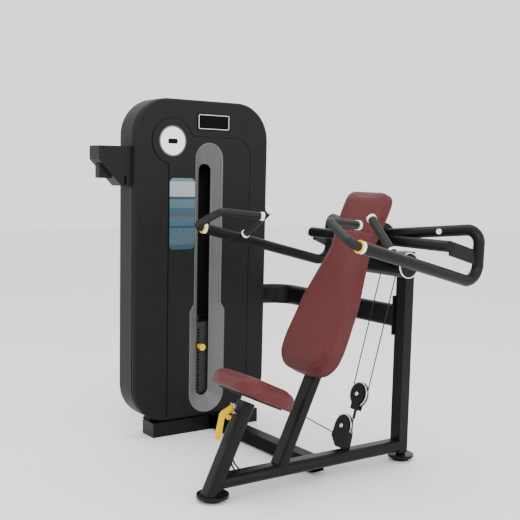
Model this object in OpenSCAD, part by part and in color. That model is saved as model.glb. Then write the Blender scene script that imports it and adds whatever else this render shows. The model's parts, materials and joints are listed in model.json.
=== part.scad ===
// Pin-loaded shoulder press machine: a shrouded weight tower, a leaning seat and back rest, and
// two press arms that turn on one cross axle behind the back rest.
// Bench frame used below: X = 0 is the bench's centre plane (the tower stands at -X), Y = 0 is the
// centre of the front foot (the user faces -Y), Z = 0 is the floor. machine() moves it to the
// model's own origin, the middle of the machine's footprint on the floor.

/* [Weight tower] */
// Height of the tower above the floor
tower_h = 1500; // [1460:5:1540]
// Depth of the tower, front edge to rear edge
tower_d = 685; // [670:5:700]
// Thickness of the tower, shell and back panel together
tower_t = 146; // [140:2:160]
// Corner radius of the shells, seen from the side
shell_r = 165; // [120:5:180]
// Wall thickness of the shells
shell_wall = 5; // [4:0.5:7]
// Width of the viewing slot
slot_w = 72; // [60:2:80]

/* [Weight stack] */
// Number of plates that hang above the selector pin
lifted_count = 6; // [4:1:8]
// Number of plates that stay below the selector pin
resting_count = 14; // [12:1:15]
// Height of one plate
plate_t = 15; // [14:0.5:15]
// Length of one plate
plate_len = 300; // [260:10:340]
// Width of one plate
plate_w = 76; // [70:2:80]

/* [Bench frame] */
// Backward lean of the seat post and back post, in degrees
lean = 25; // [24:0.5:26]
// Wide side of the flat oval tube
tube_w = 80; // [76:1:80]
// Narrow side of the flat oval tube
tube_t = 50; // [46:1:52]
// Wall thickness of the frame tubes
tube_wall = 3; // [2.5:0.5:4]
// Radius of the round feet
foot_r = 60; // [54:1:66]

/* [Cushions] */
// Width of the seat cushion
seat_w = 308; // [270:5:320]
// Depth of the seat cushion
seat_d = 260; // [240:5:270]
// Thickness of the seat cushion
seat_t = 62; // [55:1:66]
// Width of the back cushion over its lower half
pad_w = 338; // [320:2:350]
// Width of the back cushion at the shoulders
pad_top_w = 242; // [225:1:255]
// Width of the back cushion at its waist
pad_waist_w = 210; // [195:5:225]
// Length of the back cushion
pad_len = 768; // [740:2:780]
// Thickness of the back cushion
pad_t = 65; // [60:1:68]

/* [Press arms] */
// Outside diameter of the arm tubes
arm_tube_d = 43; // [40:1:44]
// Outside diameter of the sleeve that turns on the axle
sleeve_d = 42; // [40:1:44]
// Outside diameter of the arm hub
hub_d = 43; // [42:1:50]
// Diameter of the cross axle
axle_d = 25; // [24:1:26]
// Outside diameter of the hand grips
grip_d = 31; // [30:1:33]

/* [Hidden] */
$fn = 64;
eps = 0.01;
running = 0.05;          // radial clearance of a turning or sliding fit
bench_x = 218;           // bench centre plane from the origin
bench_y = -458;          // front foot centre from the origin

// ---- weight tower, in bench coordinates
tower_face = -806;
tower_front = 84;
tower_mid_x = tower_face - tower_t / 2;
tower_mid_y = tower_front + tower_d / 2;
shell_bottom = 70;
slot_y = 451;
slot_low = 157;
slot_high = 1224;
trim_low = 85;
trim_high = 1317;
trim_w = 144;
trim_low_w = 185;
trim_step_low = 561;
trim_step_high = 593;
trim_depth = 39;
base_w = 104;
base_h = 65;
base_front = 182;
base_rear = 740;
post_x = -895;           // tower posts and their beam
post_front = 215;
post_rear = 690;
rod_plate_z = 1268;
beam_low = 1400;
beam_high = 1440;

// ---- weight stack
stack_x = -898;
stack_low = 160;
plate_gap = 0.6;
plate_pitch = plate_t + plate_gap;
resting_top = stack_low + resting_count * plate_pitch;
head_low = resting_top + lifted_count * plate_pitch;
head_t = 26;
rod_r = 10;
rod_y = 110;             // guide rods, each side of the stack's centre
stem_r = 12;
pin_r = 4.5;
pin_z = resting_top + plate_t / 2;

// ---- cables and pulleys
cable_r = 2.4;
wheel_r = 45;            // radius that the cable runs on
wheel_bore = 6;
wheel_t = 14;
lean_u = [0, sin(lean), cos(lean)];
run_tilt = 15.27;        // lean of the cable run below the head housing
run_u = [0, sin(run_tilt), cos(run_tilt)];
run_n = [0, cos(run_tilt), -sin(run_tilt)];
cam_x = 45;              // the two arm cables, each side of the centre plane
axle_y = 740;
axle_z = 939;
cam_r = 66;
guide_y = 800;
guide_z = 842;
guide_r = axle_z - guide_z - cam_r;
guide = [0, guide_y, guide_z];
float_drop = 543;        // from the guide pulleys to the floating pulley, along the run
float_c = guide + guide_r * run_n - float_drop * run_u;
rod_low = 100;           // bottom of the floating pulley's threaded rod, below its centre
lower_drop = 142;
lower_c = float_c - [cam_x, 0, 0] - lower_drop * run_u;
rise = 6;                // climb of the cable from the lower pulley to the tower, in degrees
base_r = 36;             // run radius of the pulley at the foot of the tower
top_r = 40;              // run radius of the two pulleys at its top
base_c = [stack_x + base_r, 637.7, 251.4];
top_z = 1330;
top_a = [stack_x, base_c[1] - top_r, top_z];
top_b = [stack_x, slot_y + top_r, top_z];

// ---- bench frame
base_rear_y = 928;
base_z = 67;
foot_h = 26;
pad_h = 14;
puck_r = 34;
rear_foot_r = 54;
seat_foot_y = -23;       // where the seat post's axis meets the floor
back_foot_y = 255;
seat_post_top = 386;
back_post_top = 1092;
upright_y = 915;
upright_w = 57;
upright_d = 46;
upright_low = 38;
upright_top = 880;
mid_beam_z = 612;
mid_beam_y = 900;
mid_beam_h = 94;
mid_beam_t = 40;
floor_beam_y = 510;
floor_beam_z = 36;

// ---- seat and back rest, measured along the posts (s) and forward of them (t)
stem_w = 60;
stem_t = 30;
seat_s = 406;            // underside of the seat cushion
seat_back_t = -9;        // seat cushion's centre, behind the seat post
pad_s = 446;
plate_thick = 8;
back_t = 42;             // narrow side of the back post
lever_s = 353;
lever_t = 38;

// ---- press arms
arm_x = 442;
hub_in = 298;
hub_out = 412;
arm_front = [493, 250, 955];
arm_rear = [437, 862, 799];
arm_top = [442, 860, 1002];
arm_in = [64, 744, 962];
sleeve_in = 36;

steel = [0.10, 0.10, 0.11];
charcoal = [0.17, 0.17, 0.18];
grey = [0.52, 0.53, 0.54];
maroon = [0.42, 0.16, 0.17];
yellow = [0.95, 0.80, 0.10];
white = [0.92, 0.92, 0.92];

// ---------------------------------------------------------------- helpers

module machine() { translate([bench_x, bench_y, 0]) children(); }

module mirrored() {
    children();
    mirror([1, 0, 0]) children();
}

function unit(v) = v / norm(v);

// turn local axes to the directions ax, ay and ax x ay, and move the origin to p
module orient(p, ax, ay) {
    az = cross(ax, ay);
    multmatrix([[ax[0], ay[0], az[0], p[0]], [ax[1], ay[1], az[1], p[1]],
        [ax[2], ay[2], az[2], p[2]], [0, 0, 0, 1]]) children();
}

// local +Z along direction d, local origin at p
module along(p, d) {
    az = unit(d);
    side = abs(az[0]) > 0.9 ? [0, 1, 0] : [1, 0, 0];
    ay = unit(cross(az, side));
    orient(p, cross(ay, az), ay) children();
}

// round bar from p to q, made longer by a at p and by b at q
module rod(p, q, r, a = 0, b = 0) {
    u = unit(q - p);
    along(p - a * u, u) cylinder(h = norm(q - p) + a + b, r = r);
}

// round bar bent on a circle: starts at angle a0 and sweeps by turn, in the plane of ax and ay
module bend_bar(centre, ax, ay, bend_r, r, a0, turn) {
    orient(centre, ax, ay) rotate([0, 0, a0]) rotate_extrude(angle = turn, $fn = 96)
        translate([bend_r, 0]) circle(r + bend_lip(r));
}

// a bend is a hair thicker than the straights that run into it
function bend_lip(r) = r > 6 ? 0.3 : 0.12;
function bend_lap(r) = r > 6 ? 2 : 1;

// elbow of radius bend_r at corner b of the path a-b-c
function elbow_angle(a, b, c) = acos(min(1, max(-1, unit(b - a) * unit(c - b))));
function elbow_back(a, b, c, bend_r) = bend_r * tan(elbow_angle(a, b, c) / 2);

module elbow(a, b, c, bend_r, r) {
    u = unit(b - a);
    v = unit(c - b);
    side = unit(cross(cross(u, v), u));
    start = b - elbow_back(a, b, c, bend_r) * u;
    orient(start + bend_r * side, -side, u)
        rotate_extrude(angle = elbow_angle(a, b, c), $fn = 96) translate([bend_r, 0])
            circle(r + bend_lip(r));
}

// round bar along a list of points, with an elbow at each inner point
module bent_bar(points, bends, r) {
    last = len(points) - 1;
    for (i = [1 : last - 1]) elbow(points[i - 1], points[i], points[i + 1], bends[i - 1], r);
    for (i = [0 : last - 1]) {
        u = unit(points[i + 1] - points[i]);
        from = i == 0 ? 0
            : elbow_back(points[i - 1], points[i], points[i + 1], bends[i - 1]);
        to = i == last - 1 ? 0
            : elbow_back(points[i], points[i + 1], points[i + 2], bends[i]);
        rod(points[i] + from * u, points[i + 1] - to * u, r,
            i == 0 ? 0 : bend_lap(r), i == last - 1 ? 0 : bend_lap(r));
    }
}

// flat oval outline, w across X and t across Y
module oval(w, t) {
    square([w - t, t], center = true);
    for (side = [-1, 1]) translate([side * (w - t) / 2, 0]) circle(t / 2);
}

module oval_pipe(w, t, wall) {
    difference() {
        oval(w, t);
        oval(w - 2 * wall, t - 2 * wall);
    }
}

module box_pipe(w, t, wall) {
    difference() {
        square([w, t], center = true);
        square([w - 2 * wall, t - 2 * wall], center = true);
    }
}

// frame of a leaning post: local Z runs up the post, local Y points to its rear
module on_post(foot_y) { translate([0, foot_y, 0]) rotate([-lean, 0, 0]) children(); }

// pulley wheel on local Z, with a round groove and a running bore
module wheel(run_r, axle_r) {
    rim = run_r + 5;
    rotate_extrude($fn = 96) difference() {
        translate([axle_r + running, -wheel_t / 2]) square([rim - axle_r - running, wheel_t]);
        translate([run_r, 0]) circle(cable_r + 0.8);
        translate([run_r, -cable_r - 0.8]) square([10, 2 * cable_r + 1.6]);
        for (side = [-1, 1]) translate([run_r * 0.62, side * (wheel_t / 2 + 3)])
            circle(run_r * 0.16);
    }
}

module arm_side(right) { if (right) children(); else mirror([1, 0, 0]) children(); }

// ---------------------------------------------------------------- weight tower

module tower_base() color(steel) machine() {
    translate([tower_face - base_w, base_front, 0]) difference() {
        cube([base_w, base_rear - base_front, base_h]);
        translate([4, 4, 4]) cube([base_w - 8, base_rear - base_front - 8, base_h - 8]);
    }
}

module tower_frame() color(steel) machine() {
    inner = post_rear - post_front - 30;
    for (y = [post_front, post_rear]) translate([post_x, y, base_h]) {
        linear_extrude(beam_low - base_h) box_pipe(60, 40, 3);
        translate([-30, -28, 0]) cube([75, 56, 4.9]);
    }
    translate([post_x - 30, post_front - 20, beam_low])
        cube([60, post_rear - post_front + 40, beam_high - beam_low]);
    translate([stack_x - 40, post_front + 15, 122]) cube([90, inner, 12]);
    translate([stack_x, base_c[1] - 22, 122]) cube([58, 44, 12]);
    translate([0, 0, rod_plate_z]) difference() {
        translate([stack_x - 27, post_front + 15, 0]) cube([54, inner, 8]);
        for (y = [slot_y, base_c[1]]) translate([stack_x, y, -1]) cylinder(h = 10, r = 9);
    }
    translate([post_x - 30, post_rear + 17, mid_beam_z - 57]) cube([95, 6, 114]);
}

module shell_outline(inset) {
    w = tower_d - 2 * inset;
    h = tower_h - shell_bottom - 2 * inset;
    r = shell_r - inset;
    square([w - 2 * r, h], center = true);
    square([w, h - 2 * r], center = true);
    for (sx = [-1, 1], sy = [-1, 1]) translate([sx * (w / 2 - r), sy * (h / 2 - r)]) circle(r);
}

// places an outline (X = depth, Y = height) on the tower's side, growing away from the bench
module on_side(x, thick) {
    translate([x, tower_mid_y, (tower_h + shell_bottom) / 2]) rotate([90, 0, 90])
        translate([0, 0, -thick]) linear_extrude(thick) children();
}

module slot_outline(w, low, high, low_w) {
    r = w / 2;
    translate([0, 0]) hull_bar(w, low + low_w / 2, high);
    if (low_w > w) {
        hull_bar(low_w, low, trim_step_low);
        polygon([[-low_w / 2, trim_step_low - low_w / 2 - eps], [low_w / 2,
            trim_step_low - low_w / 2 - eps], [low_w / 2, trim_step_low], [r, trim_step_high],
            [-r, trim_step_high], [-low_w / 2, trim_step_low]]);
    }
}

// bar with round ends from z = low to z = high, before it is moved to the slot
module hull_bar(w, low, high) {
    translate([-w / 2, low + w / 2]) square([w, high - low - w]);
    for (z = [low + w / 2, high - w / 2]) translate([0, z]) circle(w / 2);
}

module at_slot() {
    translate([slot_y - tower_mid_y, -(tower_h + shell_bottom) / 2]) children();
}

module shell_near() color(charcoal) machine() {
    depth = tower_t - 8;
    difference() {
        union() {
            on_side(tower_face - 12, depth - 12) shell_outline(0);
            on_side(tower_face - 6, 6 + eps) shell_outline(3);
            on_side(tower_face, 6 + eps) shell_outline(9);
        }
        on_side(tower_face - 12 - shell_wall, depth) shell_outline(shell_wall);
        on_side(tower_face - shell_wall, depth) shell_outline(22);
        on_side(tower_face + 1, 60) at_slot()
            slot_outline(trim_w - 14, trim_low + 7, trim_high - 7, trim_low_w - 14);
        translate([tower_face - 30, base_c[1] - 13, 190]) cube([50, 26, 40]);
        for (y = [post_front, post_rear])
            translate([post_x - 31, y - 29, base_h - 5]) cube([77, 58, 90]);
        translate([-875, 740, mid_beam_z - mid_beam_h / 2 - 4]) cube([50, 40, mid_beam_h + 8]);
    }
}

module shell_far() color(charcoal) machine() {
    on_side(tower_face - tower_t + 7.9, 4) shell_outline(1);
    on_side(tower_face - tower_t + 4, 4) shell_outline(6);
}

module slot_trim() color(grey) machine() {
    difference() {
        union() {
            on_side(tower_face + 4, 3.9) at_slot()
                slot_outline(trim_w, trim_low, trim_high, trim_low_w);
            on_side(tower_face, trim_depth) at_slot()
                slot_outline(trim_w - 16, trim_low + 8, trim_high - 8, trim_low_w - 16);
        }
        on_side(tower_face + 5, 6) at_slot() slot_outline(trim_w - 24, trim_low + 12,
            trim_high - 12, trim_low_w - 24);
        on_side(tower_face, trim_depth / 3) at_slot() slot_outline(trim_w - 36,
            trim_low + 30, trim_high - 24, trim_low_w - 60);
        on_side(tower_face - trim_depth / 3 + eps, trim_depth / 3) at_slot()
            hull_bar(slot_w + 20, slot_low - 24, slot_high + 30);
        on_side(tower_face + 1, trim_depth + 2) at_slot() hull_bar(slot_w, slot_low, slot_high);
    }
}

module side_plate(y, z, w, h, r, thick) {
    translate([tower_face + 0.05, y, z]) rotate([90, 0, 90]) linear_extrude(thick) {
        square([w - 2 * r, h], center = true);
        square([w, h - 2 * r], center = true);
        for (sx = [-1, 1], sy = [-1, 1]) translate([sx * (w / 2 - r), sy * (h / 2 - r)]) circle(r);
    }
}

module label_disc() color(white) machine() {
    translate([tower_face + 0.05, 264, 1317]) rotate([0, 90, 0]) cylinder(h = 4, r = 66);
}

module name_plate() color(steel) machine() { side_plate(471, 1407, 164, 70, 6, 4); }

module placard() color([0.75, 0.80, 0.85]) machine() { side_plate(314, 1000, 126, 314, 20, 2.5); }

module accessory_holder() color(steel) machine() {
    depth = 150;
    translate([-932, tower_front - 0.3, 0]) rotate([90, 0, 90]) difference() {
        linear_extrude(96) polygon([[0, 1118], [-46, 1118], [-depth, 1228], [-depth, 1286],
            [0, 1288]]);
        translate([0, 0, 8]) linear_extrude(80) polygon([[-12, 1176], [-60, 1176],
            [-depth + 10, 1240], [-depth + 10, 1300], [-12, 1300]]);
        translate([0, 0, -1]) linear_extrude(99) translate([-34, 1126]) square([10, 36]);
    }
    translate([-900, tower_front - 0.3 - 138, 1150]) cube([40, 56, 60]);
}

module guide_rods() color("silver") machine() {
    for (side = [-1, 1]) translate([stack_x, slot_y + side * rod_y, 134])
        cylinder(h = rod_plate_z - 134 - 0.1, r = rod_r);
}

module stack_bumpers() color([0.05, 0.05, 0.05]) machine() {
    for (side = [-1, 1]) translate([stack_x, slot_y + side * rod_y, 134]) difference() {
        cylinder(h = stack_low - 134 - 0.4, r = 24);
        translate([0, 0, -1]) cylinder(h = 40, r = rod_r + 0.5);
    }
}

module plate(z) {
    difference() {
        translate([stack_x - plate_w / 2, slot_y - plate_len / 2, z])
            cube([plate_w, plate_len, plate_t]);
        for (side = [-1, 1]) translate([stack_x, slot_y + side * rod_y, z - 1])
            cylinder(h = plate_t + 2, r = rod_r + 2);
        translate([stack_x, slot_y, z - 1]) cylinder(h = plate_t + 2, r = stem_r + 1.5);
        translate([stack_x, slot_y - 11, z + plate_t / 2]) rotate([0, 90, 0])
            cylinder(h = plate_w, r = pin_r + 0.5);
    }
}

module resting_plates() color([0.2, 0.2, 0.21]) machine() {
    for (i = [0 : resting_count - 1]) plate(stack_low + i * plate_pitch);
}

module lifted_plates() color([0.2, 0.2, 0.21]) machine() {
    for (i = [0 : lifted_count - 1]) plate(resting_top + i * plate_pitch);
}

module head_plate() color(steel) machine() {
    difference() {
        translate([stack_x - plate_w / 2, slot_y - plate_len / 2, head_low])
            cube([plate_w, plate_len, head_t]);
        for (side = [-1, 1]) translate([stack_x, slot_y + side * rod_y, head_low - 1])
            cylinder(h = head_t + 2, r = rod_r + running);
        translate([stack_x, slot_y, head_low - 1]) cylinder(h = head_t / 2, r = stem_r + 0.2);
        translate([stack_x, slot_y, head_low]) cylinder(h = head_t + 1, r = cable_r + 0.6);
    }
    translate([stack_x, slot_y, head_low + head_t]) difference() {
        cylinder(h = 30, r = 11);
        translate([0, 0, -1]) cylinder(h = 40, r = cable_r + 0.6);
    }
}

module selector_stem() color("silver") machine() {
    difference() {
        translate([stack_x, slot_y, stack_low + 8])
            cylinder(h = head_low - stack_low - 8 + head_t / 2 - 1.2, r = stem_r);
        translate([stack_x, slot_y, head_low - 85]) cylinder(h = 110, r = cable_r + 0.6);
        for (i = [0 : resting_count + lifted_count - 1])
            translate([stack_x, slot_y - 11, stack_low + i * plate_pitch + plate_t / 2])
                rotate([0, 90, 0]) cylinder(h = stem_r + 5, r = pin_r + 0.4);
    }
}

module selector_pin() color(yellow) machine() {
    reach = -stack_x + tower_face - 46;
    translate([stack_x + 4, slot_y - 11, pin_z]) rotate([0, 90, 0]) {
        cylinder(h = reach, r = pin_r);
        translate([0, 0, plate_w / 2]) cylinder(h = 8, r = 11);
        translate([0, 0, plate_w / 2 + 6]) cylinder(h = 12, r = 7);
        translate([0, 0, plate_w / 2 + 18]) cylinder(h = 5, r1 = 8, r2 = 15, $fn = 48);
        translate([0, 0, plate_w / 2 + 23]) cylinder(h = 12, r = 15);
    }
}

module top_wheel(c) {
    translate(c) rotate([0, 90, 0]) wheel(top_r, wheel_bore);
}

module top_pulley_a() color([0.08, 0.08, 0.08]) machine() { top_wheel(top_a); }

module top_pulley_b() color([0.08, 0.08, 0.08]) machine() { top_wheel(top_b); }

module top_pulley_bracket() color(steel) machine() {
    for (side = [-1, 1]) translate([stack_x + side * 13, 0, 0])
        translate([-2, top_b[1] - 25, top_z - 22])
            cube([4, top_a[1] - top_b[1] + 50, beam_low - top_z + 21.9]);
    for (c = [top_a, top_b]) translate(c - [20, 0, 0]) rotate([0, 90, 0])
        cylinder(h = 40, r = wheel_bore);
}

module base_pulley() color([0.08, 0.08, 0.08]) machine() {
    translate(base_c) rotate([90, 0, 0]) wheel(base_r, wheel_bore);
}

module base_pulley_bracket() color(steel) machine() {
    for (side = [-1, 1]) translate([base_c[0], base_c[1] + side * 11, 0])
        translate([-18, -2, 134.1]) cube([36, 4, base_c[2] - 134.1 + 18]);
    translate(base_c + [0, 20, 0]) rotate([90, 0, 0]) cylinder(h = 40, r = wheel_bore);
}

// cable from the floating pulley's rod, round the lower pulley, into the tower and up to the stack
module bench_cable() color([0.06, 0.06, 0.06]) machine() {
    x = [1, 0, 0];
    z = [0, 0, 1];
    y = [0, 1, 0];
    start = float_c - (rod_low + 0.2) * run_u;
    side_in = lower_c + wheel_r * x;
    leave = lower_c - wheel_r * (sin(rise) * x + cos(rise) * run_u);
    enter = base_c - base_r * (sin(rise) * x + cos(rise) * z);
    rod(start, side_in, cable_r, 0, 1);
    bend_bar(lower_c, x, run_u, wheel_r, cable_r, -90 - rise, 90 + rise);
    rod(leave, enter, cable_r, 1, 1);
    bend_bar(base_c, x, z, base_r, cable_r, 180, 90 - rise);
    rod(base_c - base_r * x, top_a + top_r * y, cable_r, 1, 1);
    bend_bar(top_a, y, z, top_r, cable_r, 0, 90);
    rod(top_a + top_r * z, top_b + top_r * z, cable_r, 1, 1);
    bend_bar(top_b, y, z, top_r, cable_r, 90, 90);
    rod(top_b - top_r * y, [stack_x, slot_y, head_low + head_t + 6], cable_r, 1, 0);
}

// ---------------------------------------------------------------- bench frame

module base_tube() color(steel) machine() {
    difference() {
        translate([0, 8, base_z]) rotate([-90, 0, 0])
            linear_extrude(upright_y - upright_d / 2 - 8.1) oval(tube_w, tube_t);
        translate([0, 12, base_z]) rotate([-90, 0, 0]) linear_extrude(upright_y - upright_d / 2 - 16)
            oval(tube_w - 2 * tube_wall, tube_t - 2 * tube_wall);
    }
}

module foot_plates() color(steel) machine() {
    translate([0, 0, pad_h]) cylinder(h = foot_h - pad_h, r = foot_r);
    translate([0, base_rear_y, pad_h]) cylinder(h = foot_h - pad_h, r = rear_foot_r);
}

module foot_pads() color([0.05, 0.05, 0.05]) machine() {
    for (y = [0, base_rear_y]) translate([0, y, 0]) cylinder(h = pad_h, r = puck_r);
}

module seat_post() color(steel) machine() {
    difference() {
        on_post(seat_foot_y) translate([0, 0, -40])
            linear_extrude(seat_post_top + 40) oval_pipe(tube_w, tube_t, 4);
        translate([-100, -200, -200]) cube([200, 400, 200 + foot_h]);
        on_post(seat_foot_y) translate([0, 0, lever_s - 20]) rotate([90, 0, 0])
            cylinder(h = 60, r = 5 + running);
    }
    on_post(seat_foot_y) translate([0, 0, seat_post_top - 60]) linear_extrude(60) difference() {
        oval(tube_w - 8.2, tube_t - 8.2);
        oval(stem_w + 2 * running, stem_t + 2 * running);
        translate([0, -20]) square([10.2, 40], center = true);
    }
}

module back_post() color(steel) machine() {
    difference() {
        on_post(back_foot_y) translate([0, 0, 40])
            linear_extrude(back_post_top - 40) oval_pipe(tube_w, back_t, tube_wall);
        translate([-100, 100, -100]) cube([200, 400, 100 + base_z - 6]);
    }
    on_post(back_foot_y) translate([0, 0, back_post_top]) linear_extrude(3) oval(tube_w, back_t);
}

module rear_upright() color(steel) machine() {
    translate([0, upright_y, upright_low]) linear_extrude(upright_top - upright_low)
        box_pipe(upright_w, upright_d, tube_wall);
    for (z = [upright_low, upright_top]) translate([-upright_w / 2, upright_y - upright_d / 2, z])
        cube([upright_w, upright_d, 3]);
    translate([0, base_rear_y, foot_h + 0.1]) cylinder(h = upright_low - foot_h, r = 20);
}

// two thin bars that close the corner between the seat post and the base tube
module post_gusset() color(steel) machine() {
    for (q = [[160, 116, 30], [146, 96, 26]]) {
        rear = seat_foot_y + q[0] * tan(lean) + tube_t / 2 / cos(lean);
        bent_bar([[0, rear + 3.6, q[0]], [0, rear + 6, q[0] - q[2]],
            [0, q[1], base_z + tube_t / 2 + 3.2]], [60], 3);
    }
}

module floor_beam() color(steel) machine() {
    low_x = tower_face + 8;
    length = -low_x - tube_w / 2 + 8;
    difference() {
        translate([low_x, floor_beam_y, floor_beam_z]) rotate([0, 90, 0])
            linear_extrude(length) box_pipe(54, 60, 3);
        translate([0, 0, base_z]) rotate([-90, 0, 0])
            linear_extrude(900) oval(tube_w + 0.2, tube_t + 0.2);
    }
    translate([tower_face + 0.1, floor_beam_y - 38, 5]) cube([8, 76, 61]);
}

module mid_beam() color(steel) machine() {
    bend_r = 110;
    start_x = -850;
    start_y = post_rear + 23.1;
    translate([start_x, start_y, mid_beam_z]) rotate([-90, 0, 0])
        linear_extrude(mid_beam_y - bend_r - start_y) rotate(90)
            oval_pipe(mid_beam_h, mid_beam_t, tube_wall);
    translate([start_x + bend_r, mid_beam_y - bend_r, mid_beam_z]) rotate([0, 0, 90])
        rotate_extrude(angle = 90, $fn = 96) translate([bend_r, 0]) rotate(90)
            oval_pipe(mid_beam_h, mid_beam_t, tube_wall);
    end_x = -upright_w / 2 - 8.2;
    translate([start_x + bend_r, mid_beam_y, mid_beam_z]) rotate([0, 90, 0])
        linear_extrude(end_x - start_x - bend_r) oval_pipe(mid_beam_h, mid_beam_t, tube_wall);
    difference() {
        translate([end_x, upright_y - 34, mid_beam_z - 80]) cube([8, 60, 165]);
        for (y = [-16, 14], z = [-68, 72]) translate([end_x - 1, upright_y + y, mid_beam_z + z])
            rotate([0, 90, 0]) cylinder(h = 10, r = 5.5);
    }
}

module hex_bolt(p, r, shank) {
    translate(p) rotate([0, 90, 0]) {
        cylinder(h = r * 0.75, r = r, $fn = 6);
        translate([0, 0, -shank]) cylinder(h = shank, r = r * 0.55);
    }
}

module beam_bolts() color("silver") machine() {
    for (y = [-16, 14], z = [-68, 72])
        mirror([1, 0, 0]) hex_bolt([upright_w / 2 + 8.3, upright_y + y, mid_beam_z + z], 9, 7.9);
}

// ---------------------------------------------------------------- seat

module seat_stem() color("silver") machine() {
    on_post(seat_foot_y) difference() {
        translate([0, 0, seat_post_top - 205])
            linear_extrude(seat_s - 5 - seat_post_top + 205) oval(stem_w, stem_t);
        translate([0, 0, seat_post_top - 210])
            linear_extrude(seat_s - seat_post_top + 195) oval(stem_w - 6, stem_t - 6);
        translate([-6, -30, seat_post_top - 206]) cube([12, 19, 190]);
    }
}

module seat_plate() color(steel) machine() {
    on_post(seat_foot_y) translate([0, -seat_back_t, seat_s - 5]) {
        translate([-100, -80, 0]) cube([200, 160, 4.9]);
    }
}

module seat_pad() color(maroon) machine() {
    r = 88;
    edge = 14;
    on_post(seat_foot_y) translate([0, -seat_back_t, seat_s]) hull() {
        for (sx = [-1, 1], sy = [-1, 1]) {
            translate([sx * (seat_w / 2 - r), sy * (seat_d / 2 - r), 10])
                cylinder(h = seat_t - 10 - edge, r = r, $fn = 40);
            translate([sx * (seat_w / 2 - r), sy * (seat_d / 2 - r), 0])
                cylinder(h = seat_t, r = r - edge, $fn = 40);
        }
    }
}

module lever_frame() { on_post(seat_foot_y) translate([0, -lever_t, lever_s]) children(); }

// hand lever that hangs in front of the seat post, on a cross pin
module seat_lever() color(yellow) machine() lever_frame() {
    translate([-17, 0, 0]) rotate([90, 0, 90]) linear_extrude(6) difference() {
        union() {
            circle(10);
            polygon([[-6, 8], [-40, -32], [-44, -44], [-27, -122], [-1, -122], [-18, -52],
                [-14, -42], [9, -4]]);
            translate([-14, -122]) circle(13);
        }
        circle(4 + running);
    }
    translate([-11.1, -8, -44]) rotate([0, 90, 0]) difference() {
        cylinder(h = 10, r = 9);
        translate([0, 0, 6]) cylinder(h = 8, r = 3.5);
    }
}

// ears and cross pin that carry the hand lever
module lever_mount() color("silver") machine() lever_frame() {
    for (x = [-26, -8.8]) difference() {
        translate([x, -7, -9]) cube([4, 7 + lever_t - tube_t / 2 - 0.1, 18]);
        translate([x - 1, 0, 0]) rotate([0, 90, 0]) cylinder(h = 6, r = 4);
    }
    translate([-28, 0, 0]) rotate([0, 90, 0]) cylinder(h = 26, r = 4);
}

module latch_pin() color("silver") machine() {
    on_post(seat_foot_y) translate([0, -tube_t / 2 - 16, lever_s - 20]) rotate([-90, 0, 0]) {
        cylinder(h = 28, r = 5);
        cylinder(h = 6, r = 8);
    }
}

// ---------------------------------------------------------------- back rest

module back_plate() color(steel) machine() {
    on_post(back_foot_y) translate([-34, -back_t / 2 - plate_thick, pad_s + 60])
        cube([68, plate_thick - 0.1, 610]);
}

module back_pad() color(maroon) machine() {
    back = -back_t / 2 - plate_thick - 0.1;
    edge = 16;
    low_r = 105;
    top_r = 46;
    lower = [[low_r, pad_w / 2, low_r], [190, pad_w / 2 - 2, 60], [300, pad_w / 2 - 14, 50],
        [530, pad_waist_w / 2, 34]];
    upper = [[510, pad_waist_w / 2, 34], [600, pad_top_w / 2 - 1, 34],
        [pad_len - top_r, pad_top_w / 2, top_r]];
    on_post(back_foot_y) translate([0, back, pad_s]) rotate([90, 0, 0])
        for (rows = [lower, upper], full = [0, 1]) hull() {
            for (row = rows, sx = [-1, 1]) translate([sx * (row[1] - row[2]), row[0],
                full == 0 ? edge / 2 : 0])
                cylinder(h = full == 0 ? pad_t - edge * 1.5 : pad_t,
                    r = row[2] - (full == 0 ? 0 : edge), $fn = 32);
        }
}

// point (Y, Z) behind the back post's axis by t, and up the post from the cross axle by s
axle_s = (axle_y - back_foot_y) * sin(lean) + axle_z * cos(lean);
function ear(t, s) = [back_foot_y + t * cos(lean) + (axle_s + s) * sin(lean),
    -t * sin(lean) + (axle_s + s) * cos(lean)];

// ears on the back post that hold the cross axle
module axle_bracket() color(steel) machine() {
    face = back_t / 2 + 0.1;
    for (x = [-32, 20]) translate([x, 0, 0]) rotate([90, 0, 90]) linear_extrude(12)
        difference() {
            union() {
                translate([axle_y, axle_z]) circle(21);
                polygon([ear(face, -46), ear(face, 38), ear(50, 21), ear(50, -21)]);
            }
            translate([axle_y, axle_z]) circle(axle_d / 2);
        }
}

module cross_axle() color("silver") machine() {
    translate([-hub_out + 4, axle_y, axle_z]) rotate([0, 90, 0])
        cylinder(h = 2 * hub_out - 8, r = axle_d / 2);
}

// ---------------------------------------------------------------- press arms

module arm() {
    r = arm_tube_d / 2;
    wall = 3;
    from = unit(arm_rear - arm_front);
    inward = unit(arm_in - arm_top);
    difference() {
        union() {
            bent_bar([arm_front, arm_rear, arm_top, arm_in], [58, 46], r);
            translate([sleeve_in, axle_y, axle_z]) rotate([0, 90, 0])
                cylinder(h = hub_out - sleeve_in, r = sleeve_d / 2);
            translate([hub_in, axle_y, axle_z]) rotate([0, 90, 0])
                cylinder(h = hub_out - hub_in, r = hub_d / 2);
            translate([cam_x - 4, axle_y, axle_z]) rotate([0, 90, 0])
                cylinder(h = 8, r = cam_r + 1.5);
            brace_bar();
        }
        translate([sleeve_in - 1, axle_y, axle_z]) rotate([0, 90, 0])
            cylinder(h = hub_out - sleeve_in - 3, r = axle_d / 2 + running);
        translate([cam_x, axle_y, axle_z]) rotate([0, 90, 0]) rotate_extrude($fn = 96)
            translate([cam_r - cable_r - 0.4, -cable_r - 0.4]) square([13, 2 * cable_r + 0.8]);
        bent_bar([arm_front + 8 * from, arm_rear, arm_top, arm_in - 90 * inward], [58, 46],
            r - wall);
    }
}

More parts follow.
